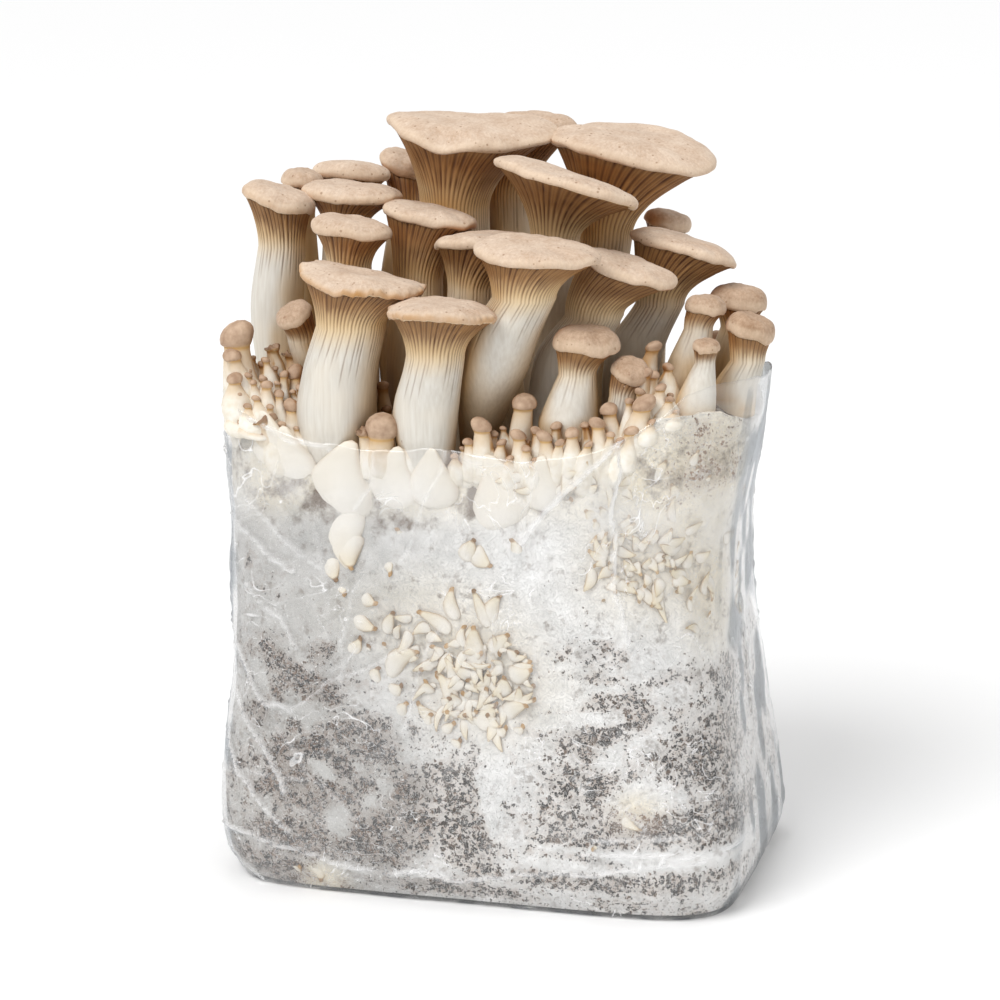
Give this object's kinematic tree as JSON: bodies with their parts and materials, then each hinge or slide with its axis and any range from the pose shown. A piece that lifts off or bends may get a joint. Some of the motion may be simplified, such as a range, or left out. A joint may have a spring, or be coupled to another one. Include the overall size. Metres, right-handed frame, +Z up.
{
  "type": "king oyster mushroom grow kit",
  "caption": "A cluster of king oyster mushrooms fruiting from the top of a colonised sawdust block that stands in its opened clear film bag.",
  "frame": {"origin": "on the floor under the middle of the bag, the bottom centre of the whole object's box", "axes": "+Z up, +X to the right along the bag's wide front, -Y out of the wide front face"},
  "size_m": [0.212, 0.14, 0.2889],
  "materials": {
    "cap_skin": "dry matte mushroom skin, warm tan with fine darker specks, paler at the rim",
    "stem_flesh": "firm white mushroom flesh with fine lengthwise fibres, cream gills running down from the cap",
    "young_flesh": "white to cream pear-shaped feet with small brown caps",
    "colonised_sawdust": "grey-brown sawdust with black pores, knitted together by cloudy white mycelium",
    "clear_film": "thin clear polypropylene film, creased, misted inside, glossy outside"
  },
  "bodies": {
    "root": {"bag_film": "clear_film", "cap_01": "cap_skin", "cap_02": "cap_skin", "cap_03": "cap_skin", "cap_04": "cap_skin", "cap_05": "cap_skin", "cap_06": "cap_skin", "cap_07": "cap_skin", "cap_08": "cap_skin", "cap_09": "cap_skin", "cap_10": "cap_skin", "cap_11": "cap_skin", "cap_12": "cap_skin", "cap_13": "cap_skin", "cap_14": "cap_skin", "cap_15": "cap_skin", "cap_16": "cap_skin", "cap_17": "cap_skin", "cap_18": "cap_skin", "cap_19": "cap_skin", "cap_20": "cap_skin", "cap_21": "cap_skin", "cap_22": "cap_skin", "cap_23": "cap_skin", "cap_24": "cap_skin", "cap_25": "cap_skin", "stem_01": "stem_flesh", "stem_02": "stem_flesh", "stem_03": "stem_flesh", "stem_04": "stem_flesh", "stem_05": "stem_flesh", "stem_06": "stem_flesh", "stem_07": "stem_flesh", "stem_08": "stem_flesh", "stem_09": "stem_flesh", "stem_10": "stem_flesh", "stem_11": "stem_flesh", "stem_12": "stem_flesh", "stem_13": "stem_flesh", "stem_14": "stem_flesh", "stem_15": "stem_flesh", "stem_16": "stem_flesh", "stem_17": "stem_flesh", "stem_18": "stem_flesh", "stem_19": "stem_flesh", "stem_20": "stem_flesh", "stem_21": "stem_flesh", "stem_22": "stem_flesh", "stem_23": "stem_flesh", "stem_24": "stem_flesh", "stem_25": "stem_flesh", "substrate_block": "colonised_sawdust", "young_mushrooms_back": "young_flesh", "young_mushrooms_front_left": "young_flesh", "young_mushrooms_front_right": "young_flesh", "young_mushrooms_left": "young_flesh", "young_mushrooms_right": "young_flesh"}
  },
  "joints": []
}
